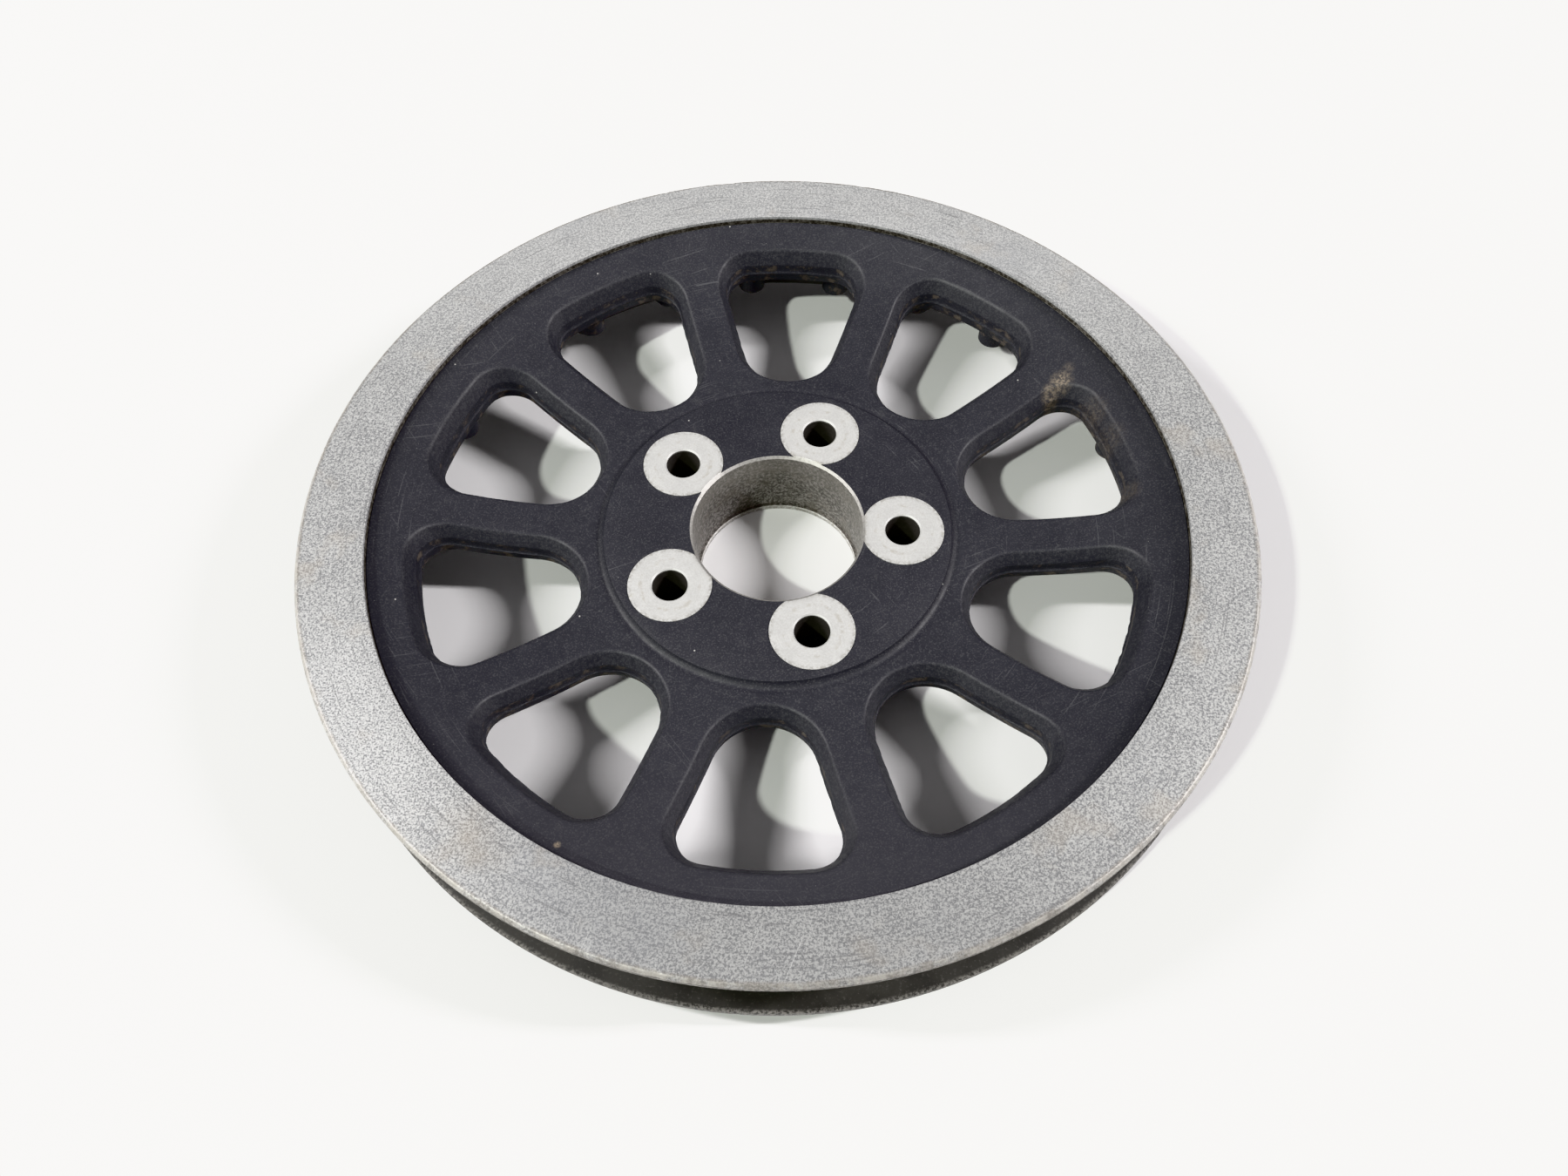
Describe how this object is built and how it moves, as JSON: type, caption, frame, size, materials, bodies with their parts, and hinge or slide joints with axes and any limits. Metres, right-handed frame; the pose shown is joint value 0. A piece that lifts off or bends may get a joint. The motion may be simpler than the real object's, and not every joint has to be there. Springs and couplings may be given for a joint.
{
  "type": "motorcycle belt pulley",
  "caption": "Rear drive-belt pulley with a dished, windowed black casting, toothed rim, bare outer guide flange, dark rear guide flange and flat hub with machined bolt seats",
  "frame": {"origin": "centre of the bore on the rear hub face, the face that seats on the wheel hub; it is the lowest point of the pulley as it lies on its back", "axes": "+Z is the pulley's axis, out of the bare outer flange's side, away from the wheel; +X goes through one bolt hole and along one spoke; +Y completes the right hand"},
  "size_m": [0.303, 0.303, 0.044],
  "materials": {
    "black_coat": "satin powder coat over cast aluminium, bare on the bolt seats and in the bore",
    "bare_aluminium": "dull, speckled with oxidation",
    "dark_coat": "matte, dusty coat over aluminium",
    "steel": "dull zinc"
  },
  "bodies": {
    "root": {"pulley_body": "black_coat", "outer_flange": "bare_aluminium", "rear_flange": "dark_coat", "flange_screws": "steel"}
  },
  "joints": []
}
